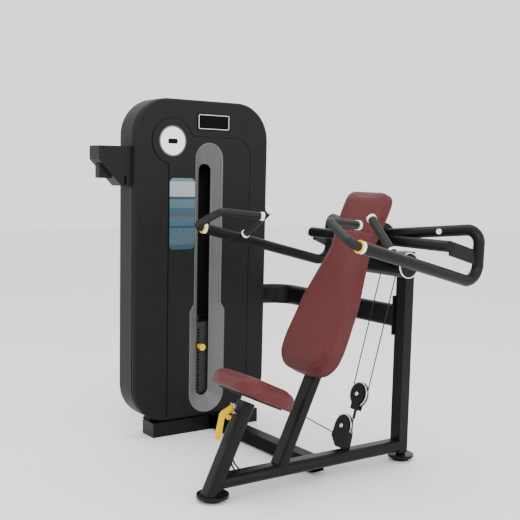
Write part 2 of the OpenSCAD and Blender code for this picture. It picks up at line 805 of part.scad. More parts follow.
// flat bar from the hub to the rear of the arm loop
module brace_bar() {
    a = [404, 752, 931];
    b = [442, 862, 893];
    along(a, b - a) translate([-6, -26, 0]) cube([12, 52, norm(b - a)]);
}

module right_arm() color(steel) machine() arm_side(true) arm();

module left_arm() color(steel) machine() arm_side(false) arm();

arm_dir = unit(arm_front - arm_rear);
front_stub = arm_front + 48 * arm_dir;
outer_bend = [341, 229, 1033];
outer_end = [295, 401, 1014];
inner_foot = arm_front - 170 * arm_dir;
inner_end = [317, 443, 1035];

module arm_rail() { rod(arm_front, arm_rear, arm_tube_d / 2 + 0.1); }

module grips() {
    r = grip_d / 2;
    bent_bar([arm_front + 0.1 * arm_dir, front_stub, outer_bend, outer_end], [28, 30], r);
    difference() {
        rod(inner_foot, inner_end, r);
        arm_rail();
    }
}

module right_grips() color([0.09, 0.09, 0.09]) machine() arm_side(true) grips();

module left_grips() color([0.09, 0.09, 0.09]) machine() arm_side(false) grips();

module collar(p, d, r, length, bore) {
    along(p, d) difference() {
        cylinder(h = length, r = r);
        translate([0, 0, -1]) cylinder(h = length + 2, r = bore);
    }
}

plug_foot = arm_top + 0.39 * (arm_in - arm_top);
plug_dir = unit(cross([0, 0, 1], arm_in - arm_top));

module collars() {
    grip_r = grip_d / 2;
    collar(arm_front + 0.2 * arm_dir, arm_dir, grip_r + 6, 14, grip_r + 0.1);
    outer_dir = unit(outer_end - outer_bend);
    collar(outer_end - 14 * outer_dir, outer_dir, grip_r + 2, 14, grip_r + 0.1);
    inner_dir = unit(inner_end - inner_foot);
    difference() {
        collar(inner_foot + 30 * inner_dir, inner_dir, grip_r + 3, 8, grip_r + 0.1);
        arm_rail();
    }
    rod(inner_end + 0.1 * inner_dir, inner_end + 10 * inner_dir, grip_r + 2);
    difference() {
        along(plug_foot, plug_dir) translate([0, 0, arm_tube_d / 2 - 8]) cylinder(h = 14, r = 10);
        rod(arm_top, arm_in, arm_tube_d / 2 + 0.1);
    }
}

module right_collars() color(white) machine() arm_side(true) collars();

module left_collars() color(white) machine() arm_side(false) collars();

module left_hub_cap() color(white) machine() {
    translate([-hub_out - 0.1, axle_y, axle_z]) rotate([0, -90, 0]) {
        cylinder(h = 15, r = 19);
        translate([0, 0, 15]) cylinder(h = 6, r1 = 19, r2 = 14);
    }
}

// ---------------------------------------------------------------- head housing and cables

module head_housing() color(steel) machine() {
    half = 138;
    difference() {
        union() {
            translate([-half, guide_y, guide_z]) rotate([0, 90, 0]) cylinder(h = 2 * half, r = 51);
            translate([-20, guide_y + 40, guide_z - 40]) cube([40, upright_y - upright_d / 2 - guide_y - 40.1, 70]);
        }
        translate([-half + 4, guide_y, guide_z]) rotate([0, 90, 0])
            cylinder(h = 2 * half - 8, r = 47);
        mirrored() {
            translate([cam_x - 9, axle_y, axle_z]) rotate([0, 90, 0]) cylinder(h = 18, r = 74);
            translate([cam_x - 7, guide_y - 5, guide_z - 60]) cube([14, 42, 45]);
        }
        translate([-half - 1, guide_y, guide_z]) rotate([0, 90, 0])
            cylinder(h = 2 * half + 2, r = 8);
    }
}

module head_rings() color(white) machine() {
    mirrored() translate([138.1, guide_y, guide_z]) rotate([0, 90, 0]) difference() {
        cylinder(h = 5, r = 51);
        translate([0, 0, -1]) cylinder(h = 9, r = 48);
    }
}

module guide_shaft() color("silver") machine() {
    translate([-150, guide_y, guide_z]) rotate([0, 90, 0]) cylinder(h = 300, r = 8);
}

module guide_wheel(side) {
    translate([side * cam_x, guide_y, guide_z]) rotate([0, 90, 0]) wheel(guide_r, 8);
}

module right_guide_pulley() color([0.08, 0.08, 0.08]) machine() { guide_wheel(1); }

module left_guide_pulley() color([0.08, 0.08, 0.08]) machine() { guide_wheel(-1); }

// one cable from cam to cam, over both guide pulleys and round the floating pulley
module arm_cable() color([0.06, 0.06, 0.06]) machine() {
    y = [0, 1, 0];
    z = [0, 0, 1];
    mirrored() {
        side = [cam_x, 0, 0];
        top = guide + side + guide_r * z;
        out = guide + side + guide_r * run_n;
        bend_bar([cam_x, axle_y, axle_z], y, z, cam_r, cable_r, -166, 76);
        rod([cam_x, axle_y, axle_z - cam_r], top, cable_r, 1, 1);
        bend_bar(guide + side, y, z, guide_r, cable_r, -run_tilt, 90 + run_tilt);
        rod(out, float_c + side, cable_r, 1, 1);
    }
    bend_bar(float_c, [1, 0, 0], run_u, cam_x, cable_r, -180, 180);
}

module floating_pulley() color([0.08, 0.08, 0.08]) machine() {
    along(float_c, run_n) wheel(cam_x, wheel_bore);
}

// side plates, axle and threaded rod of the floating pulley
module floating_fork() color(steel) machine() {
    along(float_c, run_n) {
        for (z = [-12, 8]) translate([0, 0, z]) cylinder(h = 4, r = 40);
        translate([0, 0, -15]) cylinder(h = 30, r = wheel_bore);
    }
    orient(float_c, [1, 0, 0], -run_u) {
        for (z = [-12, 8]) translate([-22, 30, z]) cube([44, 34, 4]);
        translate([-22, 56, -12]) cube([44, 8, 24]);
        translate([0, 63, 0]) rotate([-90, 0, 0]) cylinder(h = rod_low - 63, r = 6);
    }
}

module lower_pulley() color([0.08, 0.08, 0.08]) machine() {
    along(lower_c, run_n) wheel(wheel_r, wheel_bore);
}

module lower_bracket() color(steel) machine() {
    along(lower_c, run_n) translate([0, 0, -15]) cylinder(h = 30, r = wheel_bore);
    tube_top = base_z + tube_t / 2 + 0.1;
    difference() {
        orient(lower_c, [1, 0, 0], run_u) {
            for (z = [-12, 8]) translate([0, 0, z]) {
                cylinder(h = 4, r = 42);
                linear_extrude(4) polygon([[-43, 5], [43, 5], [52, -30], [52, -100], [0, -100],
                    [-50, -50]]);
            }
            translate([48.1, -100, -8.1]) cube([4, 78, 16.2]);
        }
        translate([-150, 400, tube_top - 150]) cube([300, 400, 150]);
    }
}

tower_base();
tower_frame();
shell_near();
shell_far();
slot_trim();
label_disc();
name_plate();
placard();
accessory_holder();
guide_rods();
stack_bumpers();
resting_plates();
lifted_plates();
head_plate();
selector_stem();
selector_pin();
top_pulley_a();
top_pulley_b();
top_pulley_bracket();
base_pulley();
base_pulley_bracket();
bench_cable();
base_tube();
foot_plates();
foot_pads();
seat_post();
back_post();
rear_upright();
post_gusset();
floor_beam();
mid_beam();
beam_bolts();
seat_stem();
seat_plate();
seat_pad();
seat_lever();
lever_mount();
latch_pin();
back_plate();
back_pad();
axle_bracket();
cross_axle();
right_arm();
left_arm();
right_grips();
left_grips();
right_collars();
left_collars();
left_hub_cap();
head_housing();
head_rings();
guide_shaft();
right_guide_pulley();
left_guide_pulley();
arm_cable();
floating_pulley();
floating_fork();
lower_pulley();
lower_bracket();
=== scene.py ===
"""Looks of the shoulder press machine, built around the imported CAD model. Metres, +Z up."""
import json
import math

import bmesh
import bpy
import numpy as np
from mathutils import Matrix, Vector


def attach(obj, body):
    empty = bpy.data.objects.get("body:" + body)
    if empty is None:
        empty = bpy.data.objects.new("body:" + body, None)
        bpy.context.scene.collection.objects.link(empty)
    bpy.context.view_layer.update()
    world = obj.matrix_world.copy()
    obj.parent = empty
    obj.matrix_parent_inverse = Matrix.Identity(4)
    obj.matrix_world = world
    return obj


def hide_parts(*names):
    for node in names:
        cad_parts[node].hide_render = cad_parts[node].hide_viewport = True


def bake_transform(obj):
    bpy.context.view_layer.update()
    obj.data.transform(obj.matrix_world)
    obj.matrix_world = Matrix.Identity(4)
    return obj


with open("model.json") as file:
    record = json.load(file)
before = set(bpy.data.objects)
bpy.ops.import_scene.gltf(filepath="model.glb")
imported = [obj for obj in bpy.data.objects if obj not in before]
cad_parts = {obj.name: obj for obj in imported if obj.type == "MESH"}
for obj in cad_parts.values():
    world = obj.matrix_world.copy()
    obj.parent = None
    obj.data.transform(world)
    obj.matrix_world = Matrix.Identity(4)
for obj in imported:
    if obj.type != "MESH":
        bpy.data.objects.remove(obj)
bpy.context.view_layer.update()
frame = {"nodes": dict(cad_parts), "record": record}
nodes = frame["nodes"]


def bench(x, y, z):
    """A point given in millimetres from the bench's centre plane, its front foot and the floor."""
    return Vector((x + 218.0, y - 458.0, z)) / 1000


# ------------------------------------------------------------------ camera, lights, floor

AZIMUTH, ELEVATION, ROLL = math.radians(53.8236), math.radians(6.8104), math.radians(1.45733)
CAMERA_PLACE = bench(2741, -1689, 1186)
LENS, SENSOR = 63.25, 36
SHIFT = (-0.0537, 0.0448)
WORLD_STRENGTH = 1.6
FLOOR_SIDE, FLOOR_DROP = 14, 0.0005


def make_camera():
    forward = Vector((-math.sin(AZIMUTH) * math.cos(ELEVATION),
                      math.cos(AZIMUTH) * math.cos(ELEVATION), -math.sin(ELEVATION)))
    right = Vector((math.cos(AZIMUTH), math.sin(AZIMUTH), 0))
    up = right.cross(forward)
    x = math.cos(ROLL) * right + math.sin(ROLL) * up
    y = math.cos(ROLL) * up - math.sin(ROLL) * right
    data = bpy.data.cameras.new("camera")
    data.sensor_width = SENSOR
    data.lens = LENS
    data.shift_x, data.shift_y = SHIFT
    data.clip_end = 60
    camera = bpy.data.objects.new("camera", data)
    turn = Matrix((x, y, -forward)).transposed().to_4x4()
    camera.matrix_world = Matrix.Translation(CAMERA_PLACE) @ turn
    bpy.context.scene.collection.objects.link(camera)
    bpy.context.scene.camera = camera


def area_light(name, place, target, size, power):
    data = bpy.data.lights.new(name, "AREA")
    data.shape = "RECTANGLE"
    data.size, data.size_y = size
    data.energy = power
    light = bpy.data.objects.new(name, data)
    light.location = place
    aim = Vector(target) - Vector(place)
    light.rotation_euler = aim.to_track_quat("-Z", "Y").to_euler()
    bpy.context.scene.collection.objects.link(light)


def make_stage():
    world = bpy.data.worlds.new("studio")
    bpy.context.scene.world = world
    world.use_nodes = True
    back = world.node_tree.nodes["Background"]
    back.inputs["Color"].default_value = (1, 1, 1, 1)
    back.inputs["Strength"].default_value = WORLD_STRENGTH
    area_light("key", (4.4, -2.2, 3.5), (0, 0, 0.8), (2.4, 2.4), 120)
    area_light("fill", (4.5, 1.5, 2.0), (0.2, 0.2, 0.7), (2.5, 2.5), 45)
    area_light("top", (-0.6, -0.6, 4.2), (-0.2, 0.1, 0.8), (3.0, 3.0), 70)
    mesh = bpy.data.meshes.new("floor")
    corners = [(x * FLOOR_SIDE, y * FLOOR_SIDE, -FLOOR_DROP)
               for x, y in ((-1, -1), (1, -1), (1, 1), (-1, 1))]
    mesh.from_pydata(corners, [], [(0, 1, 2, 3)])
    floor = bpy.data.objects.new("floor", mesh)
    bpy.context.scene.collection.objects.link(floor)
    floor.data.materials.append(surface("floor_paint", (0.9, 0.9, 0.9), 0.6, vary=0.04, bump=0.02))


# ------------------------------------------------------------------ materials

def surface(name, colour, rough, metal=0.0, scale=40.0, vary=0.08, bump=0.05, bump_scale=None,
            rough_vary=0.08, edge=0.0, coat=0.0, sheen=0.0, spec=0.5):
    """A noisy material: its colour, roughness and fine bumps vary over it, and edge rounds its
    sharp edges by that many metres in its shading."""
    mat = bpy.data.materials.new(name)
    mat.use_nodes = True
    tree = mat.node_tree
    make, link = tree.nodes.new, tree.links.new
    shader = tree.nodes["Principled BSDF"]
    shader.inputs["Metallic"].default_value = metal
    shader.inputs["Coat Weight"].default_value = coat
    shader.inputs["Coat Roughness"].default_value = 0.12
    shader.inputs["Sheen Weight"].default_value = sheen
    shader.inputs["Specular IOR Level"].default_value = spec
    coords = make("ShaderNodeTexCoord")
    place = make("ShaderNodeMapping")
    link(coords.outputs["Object"], place.inputs["Vector"])
    noise = make("ShaderNodeTexNoise")
    noise.inputs["Scale"].default_value = scale
    noise.inputs["Detail"].default_value = 6
    link(place.outputs["Vector"], noise.inputs["Vector"])
    tint = make("ShaderNodeValToRGB")
    tint.color_ramp.elements[0].position = 0.3
    tint.color_ramp.elements[1].position = 0.7
    tint.color_ramp.elements[0].color = [c * (1 - vary) for c in colour] + [1]
    tint.color_ramp.elements[1].color = [min(1, c * (1 + vary)) for c in colour] + [1]
    link(noise.outputs["Fac"], tint.inputs["Fac"])
    link(tint.outputs["Color"], shader.inputs["Base Color"])
    span = make("ShaderNodeMapRange")
    span.inputs["To Min"].default_value = max(0.02, rough - rough_vary)
    span.inputs["To Max"].default_value = min(1, rough + rough_vary)
    link(noise.outputs["Fac"], span.inputs["Value"])
    link(span.outputs["Result"], shader.inputs["Roughness"])
    fine = make("ShaderNodeTexNoise")
    fine.inputs["Scale"].default_value = bump_scale or scale * 6
    fine.inputs["Detail"].default_value = 3
    link(place.outputs["Vector"], fine.inputs["Vector"])
    grain = make("ShaderNodeBump")
    grain.inputs["Strength"].default_value = bump
    grain.inputs["Distance"].default_value = 0.001
    link(fine.outputs["Fac"], grain.inputs["Height"])
    if edge:
        soft = make("ShaderNodeBevel")
        soft.samples = 4
        soft.inputs["Radius"].default_value = edge
        link(soft.outputs["Normal"], grain.inputs["Normal"])
    link(grain.outputs["Normal"], shader.inputs["Normal"])
    return mat


def leather_material(name, colour):
    """Vinyl: pebbled cells over soft creases."""
    mat = surface(name, colour, 0.50, scale=9, vary=0.10, bump=0.22, bump_scale=260,
                  rough_vary=0.06, sheen=0.03, spec=0.22)
    tree = mat.node_tree
    make, link = tree.nodes.new, tree.links.new
    place = next(n for n in tree.nodes if n.bl_idname == "ShaderNodeMapping")
    grain = next(n for n in tree.nodes if n.bl_idname == "ShaderNodeBump")
    shader = tree.nodes["Principled BSDF"]
    cells = make("ShaderNodeTexVoronoi")
    cells.inputs["Scale"].default_value = 420
    link(place.outputs["Vector"], cells.inputs["Vector"])
    pebble = make("ShaderNodeBump")
    pebble.inputs["Strength"].default_value = 0.35
    pebble.inputs["Distance"].default_value = 0.0006
    link(cells.outputs["Distance"], pebble.inputs["Height"])
    link(grain.outputs["Normal"], pebble.inputs["Normal"])
    link(pebble.outputs["Normal"], shader.inputs["Normal"])
    return mat


def foam_material(name, colour):
    """Soft hand grip: matt, with a fine grain."""
    return surface(name, colour, 0.5, scale=70, vary=0.12, bump=0.3, bump_scale=900, rough_vary=0.1,
                   spec=0.25)


def banded_material(name):
    """Placard: plain colour bands over its height, with no marks on them."""
    mat = surface(name, (0.4, 0.45, 0.48), 0.3, scale=60, vary=0.03, bump=0.01)
    tree = mat.node_tree
    make, link = tree.nodes.new, tree.links.new
    coords = next(n for n in tree.nodes if n.bl_idname == "ShaderNodeTexCoord")
    shader = tree.nodes["Principled BSDF"]
    split = make("ShaderNodeSeparateXYZ")
    link(coords.outputs["Object"], split.inputs["Vector"])
    span = make("ShaderNodeMapRange")
    span.inputs["From Min"].default_value = 0.843
    span.inputs["From Max"].default_value = 1.157
    link(split.outputs["Z"], span.inputs["Value"])
    ramp = make("ShaderNodeValToRGB")
    ramp.color_ramp.interpolation = "CONSTANT"
    bands = [(0.0, (0.014, 0.050, 0.080)), (0.07, (0.042, 0.082, 0.105)),
             (0.30, (0.008, 0.038, 0.070)), (0.33, (0.034, 0.085, 0.115)),
             (0.46, (0.110, 0.036, 0.036)), (0.48, (0.022, 0.068, 0.098)),
             (0.58, (0.056, 0.108, 0.132)), (0.70, (0.008, 0.038, 0.070)),
             (0.74, (0.270, 0.300, 0.320)), (0.95, (0.070, 0.135, 0.170))]
    while len(ramp.color_ramp.elements) < len(bands):
        ramp.color_ramp.elements.new(0.5)
    for element, (place, colour) in zip(ramp.color_ramp.elements, bands):
        element.position = place
        element.color = (*colour, 1)
    link(span.outputs["Result"], ramp.inputs["Fac"])
    link(ramp.outputs["Color"], shader.inputs["Base Color"])
    return mat


MATERIALS = {}


def make_materials():
    m = MATERIALS
    m["frame_paint"] = surface("frame_paint", (0.0045, 0.0045, 0.005), 0.36, scale=25, vary=0.15,
                               bump=0.08, bump_scale=520, edge=0.0015, spec=0.16)
    # beam_paint is the frame paint made near black with little gloss: painted shade for the floor
    # beam, whose seen side lies in shade
    m["beam_paint"] = surface("beam_paint", (0.0006, 0.0006, 0.0007), 0.4, scale=25, vary=0.15,
                              bump=0.08, bump_scale=520, edge=0.0015, spec=0.06)
    m["shell"] = surface("shell", (0.0095, 0.0095, 0.0100), 0.46, scale=14, vary=0.08, bump=0.12,
                         bump_scale=700, spec=0.12)
    m["trim"] = surface("trim", (0.115, 0.115, 0.118), 0.42, scale=18, vary=0.04, bump=0.05,
                        bump_scale=600, spec=0.3)
    m["white_plastic"] = surface("white_plastic", (0.90, 0.90, 0.89), 0.28, scale=50, vary=0.02,
                                 bump=0.02, coat=0.2)
    m["dark_plate"] = surface("dark_plate", (0.0015, 0.0015, 0.0018), 0.3, scale=50, vary=0.1,
                              bump=0.01, spec=0.05)
    m["placard"] = banded_material("placard")
    m["chrome"] = surface("chrome", (0.78, 0.78, 0.80), 0.10, 1.0, scale=30, vary=0.03, bump=0.01,
                          rough_vary=0.04)
    m["plates"] = surface("plates", (0.02, 0.02, 0.022), 0.45, 0.2, scale=60, vary=0.2, bump=0.2,
                          bump_scale=380, edge=0.001, spec=0.3)
    m["rubber"] = surface("rubber", (0.006, 0.006, 0.006), 0.62, scale=80, vary=0.2, bump=0.2,
                          spec=0.25)
    m["yellow_plastic"] = surface("yellow_plastic", (0.80, 0.50, 0.004), 0.32, scale=60, vary=0.03,
                                  bump=0.03, spec=0.25)
    m["yellow_paint"] = surface("yellow_paint", (0.68, 0.41, 0.0), 0.35, scale=40, vary=0.05,
                                bump=0.08, bump_scale=500, edge=0.001, spec=0.08)
    m["bright_steel"] = surface("bright_steel", (0.55, 0.55, 0.57), 0.28, 1.0, scale=120,
                                vary=0.08, bump=0.06, rough_vary=0.1)
    m["pulley"] = surface("pulley", (0.010, 0.010, 0.010), 0.4, scale=60, vary=0.1, bump=0.05,
                          spec=0.3)
    m["cushion"] = leather_material("cushion", (0.076, 0.0118, 0.0122))
    m["grip"] = foam_material("grip", (0.006, 0.006, 0.0065))
    m["cable"] = surface("cable", (0.006, 0.006, 0.0065), 0.35, scale=300, vary=0.2, bump=0.3,
                         bump_scale=1500, spec=0.3)


def dress_nodes():
    slots = {s["node"]: s["material_slot"] for s in frame["record"]["subparts"]}
    for name, obj in nodes.items():
        obj.data.materials.clear()
        obj.data.materials.append(MATERIALS[slots[name]])
        for face in obj.data.polygons:
            face.material_index = 0


# ------------------------------------------------------------------ mesh helpers

def add(name, mesh, material, body, smooth=40):
    """A visible piece that rides on a body. Edges sharper than smooth degrees stay sharp."""
    obj = bpy.data.objects.new(name, mesh)
    bpy.context.scene.collection.objects.link(obj)
    mesh.materials.clear()
    mesh.materials.append(MATERIALS[material])
    for face in mesh.polygons:
        face.use_smooth = True
    mesh.set_sharp_from_angle(angle=math.radians(smooth))
    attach(obj, body)
    return obj


def from_lists(name, verts, faces):
    mesh = bpy.data.meshes.new(name)
    mesh.from_pydata([tuple(v) for v in verts], [], faces)
    mesh.update()
    return mesh


def loft(name, loops, caps=True, closed=False):
    """Skin over closed loops of points, each loop with the same number of points."""
    n = len(loops[0])
    verts = [p for loop in loops for p in loop]
    faces = []
    rings = len(loops)
    for i in range(rings if closed else rings - 1):
        j = (i + 1) % rings
        for k in range(n):
            m = (k + 1) % n
            faces.append((i * n + k, i * n + m, j * n + m, j * n + k))
    if caps and not closed:
        faces.append(tuple(reversed(range(n))))
        faces.append(tuple(range((rings - 1) * n, rings * n)))
    return from_lists(name, verts, faces)


def rounded_rect(w, h, r, steps):
    points = []
    for cx, cy, start in ((w / 2 - r, h / 2 - r, 0), (-w / 2 + r, h / 2 - r, 90),
                          (-w / 2 + r, -h / 2 + r, 180), (w / 2 - r, -h / 2 + r, 270)):
        for i in range(steps + 1):
            a = math.radians(start + 90 * i / steps)
            points.append((cx + r * math.cos(a), cy + r * math.sin(a)))
    return points


def sweep_tube(name, path, radius, sides=16):
    """Round bar along a list of points, with flat ends."""
    points = [Vector(p) for p in path]
    loops = []
    normal = None
    for i, p in enumerate(points):
        ahead = points[min(i + 1, len(points) - 1)] - points[max(i - 1, 0)]
        ahead.normalize()
        if normal is None:
            normal = ahead.orthogonal().normalized()
        normal = (normal - ahead * normal.dot(ahead)).normalized()
        other = ahead.cross(normal)
        loops.append([p + radius * (math.cos(2 * math.pi * k / sides) * normal
                                    + math.sin(2 * math.pi * k / sides) * other)
                      for k in range(sides)])
    return loft(name, loops)


def arc(centre, ax, ay, radius, start, turn, steps):
    return [centre + radius * (math.cos(math.radians(start + turn * i / steps)) * ax
                               + math.sin(math.radians(start + turn * i / steps)) * ay)
            for i in range(steps + 1)]


def revolve(name, profile, centre, axis, steps):
    """Closed profile of (radius, height) points in millimetres, turned about an axis."""
    profile = [(r * 0.001, h * 0.001) for r, h in profile]
    axis = Vector(axis).normalized()
    u = axis.orthogonal().normalized()
    v = axis.cross(u)
    loops = []
    for i in range(steps):
        a = 2 * math.pi * i / steps
        out = math.cos(a) * u + math.sin(a) * v
        loops.append([centre + r * out + h * axis for r, h in profile])
    return loft(name, loops, closed=True)


# ------------------------------------------------------------------ weight tower

FACE_X, BACK_X, MID_X = -806.0, -952.0, -944.0
TOWER_Y, TOWER_Z, TOWER_D, TOWER_H, TOWER_R = 426.5, 785.0, 685.0, 1430.0, 165.0
SLOT_Y = 451.0
SLOT_STEP_LOW, SLOT_STEP_HIGH, SLOT_ARC_STEPS = 561.0, 593.0, 14
DISC_Y, DISC_Z = 264, 1317
CABLE_IN_Y = 637.7


def side_loop(x, inset):
    return [bench(x, TOWER_Y + a, TOWER_Z + b) for a, b in
            rounded_rect(TOWER_D - 2 * inset, TOWER_H - 2 * inset, TOWER_R - inset, 16)]


def slot_loop(x, half, low_half, low, high):
    """Outline of the viewing slot's frame: round ends, wider below a short shoulder."""
    points = []
    low_mid = (low + low_half + SLOT_STEP_LOW) / 2
    high_mid = (SLOT_STEP_HIGH + high - half) / 2
    for i in range(SLOT_ARC_STEPS + 1):
        a = math.pi * (1 + i / SLOT_ARC_STEPS)
        points.append((low_half * math.cos(a), low + low_half + low_half * math.sin(a)))
    points += [(low_half, low_mid), (low_half, SLOT_STEP_LOW), (half, SLOT_STEP_HIGH),
               (half, high_mid)]
    for i in range(SLOT_ARC_STEPS + 1):
        a = math.pi * i / SLOT_ARC_STEPS
        points.append((half * math.cos(a), high - half + half * math.sin(a)))
    points += [(-half, high_mid), (-half, SLOT_STEP_HIGH), (-low_half, SLOT_STEP_LOW),
               (-low_half, low_mid)]
    return [bench(x, SLOT_Y + a, z) for a, z in points]


def weighted(obj):
    """Flat faces keep flat shading beside their rounded edges."""
    modifier = obj.modifiers.new("weighted", "WEIGHTED_NORMAL")
    modifier.keep_sharp = True
    modifier.weight = 100


def bake(obj):
    """Apply the object's modifiers to its mesh."""
    bpy.context.view_layer.update()
    shaped = obj.evaluated_get(bpy.context.evaluated_depsgraph_get())
    mesh = bpy.data.meshes.new_from_object(shaped)
    obj.modifiers.clear()
    obj.data = mesh
    return obj


def combine(obj, tool, operation):
    """Boolean of obj with a tool object, which is used up."""
    modifier = obj.modifiers.new("combine", "BOOLEAN")
    modifier.operation = operation
    modifier.object = tool
    modifier.solver = "EXACT"
    bake(obj)
    bpy.data.objects.remove(tool)
    return obj


def cut(obj, tool):
    return combine(obj, tool, "DIFFERENCE")


def take_mesh(obj):
    """The mesh of a scratch object, which is removed."""
    mesh = obj.data
    bpy.data.objects.remove(obj)
    return mesh


def scratch(name, mesh):
    """An object to work on, which is no piece yet."""
    obj = bpy.data.objects.new(name, mesh)
    bpy.context.scene.collection.objects.link(obj)
    return obj


def prism(name, outline, x0, x1):
    """Solid between x0 and x1 over an outline of (depth, height) points."""
    return loft(name, [[bench(x0, y, z) for y, z in outline], [bench(x1, y, z) for y, z in outline]])


def make_shell(name, seam_x, face_x):
    """The tower's shroud: side wall with a groove, rounded edge, flat face."""
    round_r, groove_depth = 13.0, 4.0
    groove = face_x - (round_r + 8)
    rings = [side_loop(seam_x + 0.4, 6.0), side_loop(seam_x + 0.4, 1.5),
             side_loop(seam_x + 2.0, 0.0)]
    rings += [side_loop(groove - 5.0, 0.0), side_loop(groove - 3.8, groove_depth),
              side_loop(groove + 3.8, groove_depth), side_loop(groove + 5.0, 0.0)]
    for i in range(7):
        a = math.radians(90 * i / 6)
        rings.append(side_loop(face_x - round_r * (1 - math.sin(a)), round_r * (1 - math.cos(a))))
    return loft(name, rings)


def make_tower():
    """The shroud with its slot, hollow and channel, and the panel that closes its back."""
    near = scratch("tower_shell_near", make_shell("tower_shell_near", MID_X, FACE_X))
    opening = scratch("opening", loft("opening", [
        slot_loop(FACE_X - 45, 62, 82, 95, 1307), slot_loop(FACE_X + 10, 62, 82, 95, 1307)]))
    cut(near, opening)
    hollow = scratch("hollow", prism("hollow", [
        (TOWER_Y + a, TOWER_Z + b) for a, b in rounded_rect(664, 1408, 154, 10)],
        MID_X - 20, FACE_X - 12))
    cut(near, hollow)
    cut(near, panel_solid("channel", 4.5, -2.6, 6.0))
    shell = add("tower_shell_near", take_mesh(near), "shell", "frame", 32)
    weighted(shell)
    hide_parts("shell_near")
    rings = [side_loop(MID_X - 0.4, 1.2), side_loop(-949.0, 1.2), side_loop(-950.8, 2.0),
             side_loop(-951.7, 3.6), side_loop(BACK_X, 7.0), side_loop(BACK_X, 60.0),
             side_loop(BACK_X + 1.6, 64.0)]
    panel = add("tower_back_panel", loft("tower_back_panel", [list(reversed(r)) for r in rings]),
                "shell", "frame", 32)
    weighted(panel)
    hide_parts("shell_far")
    make_relief()
    make_trim()


def panel_solid(name, grow, low, high):
    """Outline of the raised panel joined to the ring round the disc, widened by grow, between
    two heights on the face."""
    left, right, top, r = 249.0 - grow, 667.0 + grow, 1339.0 + grow, 78.0 + grow
    outline = [(left, 84.0), (right, 84.0)]
    outline += [(right - r + r * math.cos(math.radians(a)), top - r + r * math.sin(math.radians(a)))
                for a in range(0, 91, 9)]
    outline += [(left, top)]
    body = scratch(name, prism(name, outline, FACE_X + low, FACE_X + high))
    ring_r = 98 + grow
    disc = [(DISC_Y + ring_r * math.cos(math.radians(a)),
             DISC_Z + ring_r * math.sin(math.radians(a))) for a in range(0, 360, 6)]
    ring = scratch(name + "_ring", prism(name + "_ring", disc, FACE_X + low, FACE_X + high))
    return combine(body, ring, "UNION")


def make_relief():
    """Raised panel round the slot that opens into a ring round the disc; it runs out at the
    bottom of the face. A fine channel in the shroud surrounds it."""
    body = panel_solid("panel", 0.0, -4.0, 3.0)
    hole = scratch("hole", loft("hole", [slot_loop(FACE_X - 9, 70, 90, 88, 1314),
                                         slot_loop(FACE_X + 9, 70, 90, 88, 1314)]))
    cut(body, hole)
    edge = body.modifiers.new("edge", "BEVEL")
    edge.width = 0.0028
    edge.segments = 3
    edge.limit_method = "ANGLE"
    edge.angle_limit = math.radians(50)
    bake(body)
    weighted(add("tower_panel", take_mesh(body), "shell", "frame", 32))


def make_trim():
    """Frame of the viewing slot: a thin raised rim, a broad slope, then the opening's wall.
    Each row is its height on the face and how far in it lies at the top, below and at the ends."""
    rows = [(-2, 0, 0, 0), (2.2, 0, 0, 0), (3.6, 1.6, 1.6, 1.6), (3.6, 4, 4, 4),
            (2.0, 6, 6, 6), (-2.0, 9, 11, 9), (-20, 20, 34, 38), (-33, 31, 51, 62),
            (-37, 34, 54, 68), (-39, 36, 56.5, 72), (-39, 40, 60, 72)]
    loops = []
    for x, inset, low_inset, end in rows:
        half = 72 - inset
        low_half = 92.5 - low_inset
        loops.append(slot_loop(FACE_X + x, half, low_half, 85 + end, 1317 - end * 1.29))
    mesh = loft("slot_frame", loops, caps=False)
    trim = add("slot_frame", mesh, "trim", "frame", 50)
    thick = trim.modifiers.new("thick", "SOLIDIFY")
    thick.thickness = 0.003
    thick.offset = -1
    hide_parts("slot_trim")


def make_plates():
    """Border of the name plate, placard sheet, the disc's ring and small window, and the bush
    where the cable enters the tower."""
    y, z, w, h = 471.0, 1407.0, 164.0, 70.0
    outer = [(y + a, z + b) for a, b in rounded_rect(w - 7, h - 7, 4.5, 6)]
    inner = [(y + a, z + b) for a, b in rounded_rect(w - 11, h - 11, 3.0, 6)]
    border = scratch("border", prism("border", outer, FACE_X + 3.8, FACE_X + 4.5))
    cut(border, scratch("border_hole", prism("border_hole", inner, FACE_X, FACE_X + 9)))
    add("name_plate_border", take_mesh(border), "white_plastic", "frame", 30)
    sheet = [(314.0 + a, 1000.0 + b) for a, b in rounded_rect(126, 314, 20, 8)]
    placard = add("placard_sheet", prism("placard_sheet", sheet, FACE_X + 2.6, FACE_X + 4.4),
                  "placard", "frame", 30)
    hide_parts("placard")
    rim = [(60.0, 4.0), (61.0, 5.2), (65.0, 5.2), (66.5, 4.0), (66.5, 0.5), (60.0, 0.5)]
    add("disc_rim", revolve("disc_rim", rim, bench(FACE_X, DISC_Y, DISC_Z), (1, 0, 0), 72),
        "trim", "frame", 30)
    window = [(DISC_Y + a, DISC_Z - 1 + b) for a, b in rounded_rect(46, 21, 5, 6)]
    add("disc_window", prism("disc_window", window, FACE_X + 3.6, FACE_X + 5.0), "dark_plate",
        "frame", 30)
    slit = [(CABLE_IN_Y + a, 209.0 + b) for a, b in rounded_rect(34, 44, 8, 6)]
    add("cable_bush", prism("cable_bush", slit, FACE_X - 2, FACE_X + 4.2), "dark_plate", "frame",
        30)


# ------------------------------------------------------------------ cushions

LEAN = math.radians(25.0)
SEAT_FOOT_Y, SEAT_MIDDLE_T, SEAT_S = -23.0, 9.0, 406.0
BACK_FOOT_Y, BACK_BOARD_T, BACK_S = 255.0, -29.1, 446.0
CLOTH_FRAMES, CLOTH_PRESSURE, CLOTH_CAP = 20, 4, 0.0045
PINNED_HEIGHT = 0.006
OUTLINE_STEP = 9.0


